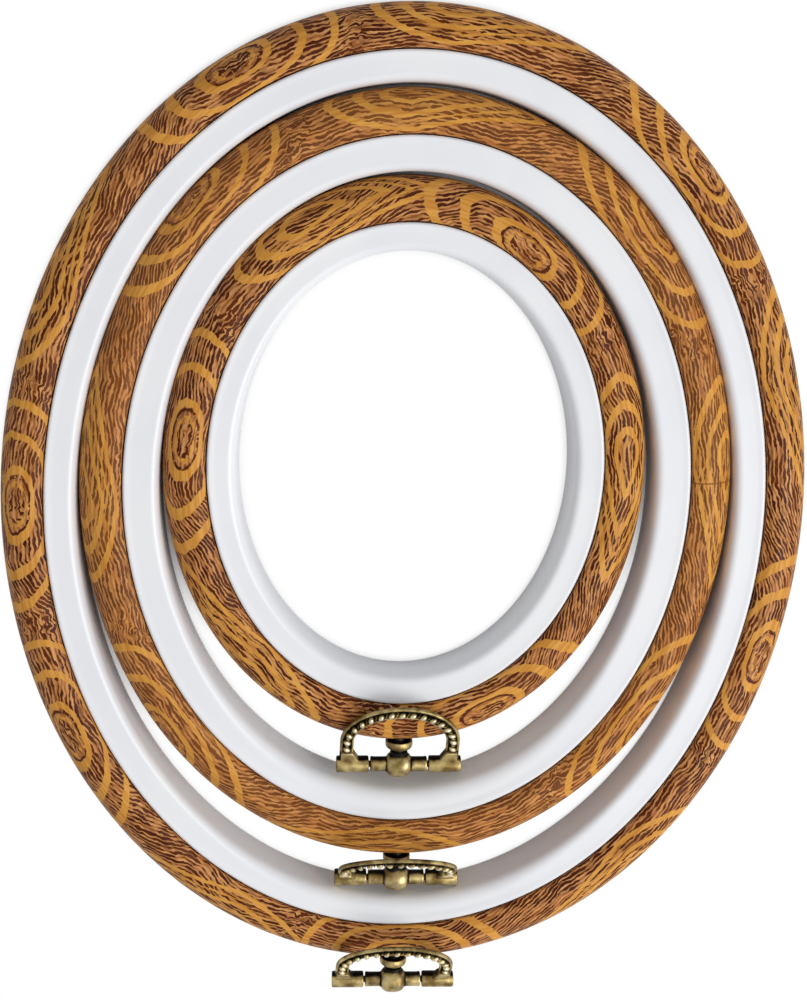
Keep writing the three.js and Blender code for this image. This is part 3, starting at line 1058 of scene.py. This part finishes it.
# %% Mark wear and painted shade
TUBE_TOP = KNUCKLE_RADIUS + 0.1
BALL_END = 3.0
STUB_TOP = 1.55
BALL_TOP = 2.6


def mark_wear_and_light(piece, place, measure):
    level = place.inverted()
    attribute = piece.data.attributes.new("wear_and_light", "FLOAT", "POINT")
    values = [measure(level @ vertex.co / MM) for vertex in piece.data.vertices]
    attribute.data.foreach_set("value", values)
    print(piece.name, "mean of proud:", round(sum(values) / len(values), 2))


def fade(value, dark, bright):
    return min(max((value - dark) / (bright - dark), 0.0), 1.0)


def on_bail(point, lean):
    # A tube's side toward the band is painted dark as shade, partly patina by the joint.
    if point.y < TUBE_TOP:
        toward_band = point.y * math.cos(lean) - point.z * math.sin(lean)
        return 0.05 + 0.65 * fade(toward_band, 1.6, 1.2)
    if point.y < FOOT_TOP - 0.05:
        return 0.25 + 0.45 * fade(point.z, 0.3, 0.85)
    if point.z > 0.02:
        return fade(point.z, 0.15, 0.8)
    offset = min((place.xy - point.xy).length for place in strap_run[::12])
    if offset > 1.2 or point.z < -0.75:
        return 0.3 + 0.45 * fade(point.z, -1.0, -0.2)
    return 0.75 * fade(point.z, -0.25, -0.02)


def on_ball(point):
    side = abs(point.x)
    crease = fade(abs(side - BALL_END), 0.1, 0.4)
    # The side of the ball and its tubes toward the band is painted dark as shade; the crease is
    # darker.
    top = STUB_TOP if side > BALL_END else BALL_TOP
    return 0.05 + 0.7 * crease * fade(point.y, top, top - 0.6)


def on_cup(point):
    away = PIN_STANDOFF - point.y
    outside = math.hypot(point.x, point.z) > 2.8 or away > 2.0
    return 0.75 * fade(away, 2.4, 2.1) if outside else 0.0


for hoop in hoops:
    lean = LEANS[hoop.name]
    mark_wear_and_light(
        bails[hoop.name], hoop.pin_place(lean), partial(on_bail, lean=math.radians(lean))
    )
    mark_wear_and_light(balls[hoop.name], hoop.pin_place(), on_ball)
    mark_wear_and_light(cups[hoop.name], hoop.pin_place(), on_cup)

# %% [markdown]
# Every piece now gets its finish, rides on the CAD body it belongs to, and stands for the CAD
# node it was made from. The steel stud and pin keep their CAD shape.

# %% Dress, ride and replace
def settle(piece, material, body, node):
    piece.data.materials.clear()
    piece.data.materials.append(material)
    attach(piece, body)
    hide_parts(node)


for name in HOOPS:
    outer, inner, swing = name + "_outer", name + "_inner", name + "_bail"
    settle(bands[name], oaks[name], outer, name + "_outer_ring")
    settle(channels[name], white, inner, name + "_inner_ring")
    settle(cups[name], brass, outer, name + "_cup_washer")
    settle(balls[name], brass, outer, name + "_ball_barrel")
    settle(bails[name], brass, swing, name + "_bail")
    for node in (name + "_stud", name + "_hinge_pin"):
        for slot in frame["nodes"][node].material_slots:
            slot.material = steel

# %% [markdown]
# The floor is white to the camera, as the picture's background is, and partly so in
# reflections. Within a few millimetres of the hoops the floor's own grey shows, and with it
# their shadow, so the hoops still stand on something.

# %% Floor
SEEN_IN_GLOSS = 0.35
SHADOW_REACH = 4
FLOOR_GREY = 0.7
FLOOR_WIDTH = 3.0
FLOOR_DROP = 0.2


def in_picture(finish):
    """1 on a ray from the camera or through glass, and a share in reflections."""
    rays = ("Is Camera Ray", "Is Glossy Ray", "Is Transmission Ray")
    seen, glossy, through = (finish.node("LightPath", {}, {}, ray) for ray in rays)
    return (seen + glossy * SEEN_IN_GLOSS + through).low(1.0)


start_clean()
bpy.ops.mesh.primitive_plane_add(size=FLOOR_WIDTH, location=(0, 0, -FLOOR_DROP * MM))
floor = bpy.context.object
floor.name = "floor"
paper = Finish("white_paper")
near = {"Distance": SHADOW_REACH * MM}
open_sky = paper.node("AmbientOcclusion", {"samples": 8}, near, "AO")
shown = in_picture(paper) * paper.step(open_sky, 0.3, 0.7)
glow = paper.node("Emission", {}, {"Color": (1, 1, 1, 1), "Strength": 1.0})
paper.set(base_color=(FLOOR_GREY, FLOOR_GREY, FLOOR_GREY, 1), roughness=0.9)
lit_paper = Socket(paper, paper.shader.outputs[0])
both = paper.node("MixShader", {}, {0: shown, 1: lit_paper, 2: glow})
paper.feed(paper.tree.nodes["Material Output"].inputs["Surface"], both)
floor.data.materials.append(paper.material)
print("floor's shadow reaches in mm:", SHADOW_REACH)

# %% [markdown]
# A large round lamp hangs high at the lower right and gives the bands their soft shine. The
# sky fills in with about half the light that it seems to have: only the camera sees it white.

# %% Lamp and sky
LAMP_PLACE = (0.62, -0.27, 0.8)
LAMP_WIDTH = 0.8
LAMP_WATTS = 7.8
SKY_LIGHT = 0.48
bpy.ops.object.light_add(type="AREA", location=LAMP_PLACE)
lamp = bpy.context.object
lamp.name = "key_lamp"
lamp.data.shape = "DISK"
lamp.data.size = LAMP_WIDTH
lamp.data.energy = LAMP_WATTS
lamp.rotation_euler = (-Vector(LAMP_PLACE)).to_track_quat("-Z", "Y").to_euler()
world = bpy.data.worlds.new("sky")
sky = Finish("sky", world)
sky.set(color=(1, 1, 1, 1), strength=in_picture(sky) * (1 - SKY_LIGHT) + SKY_LIGHT)
bpy.context.scene.world = world
bpy.context.scene.view_settings.view_transform = "Standard"
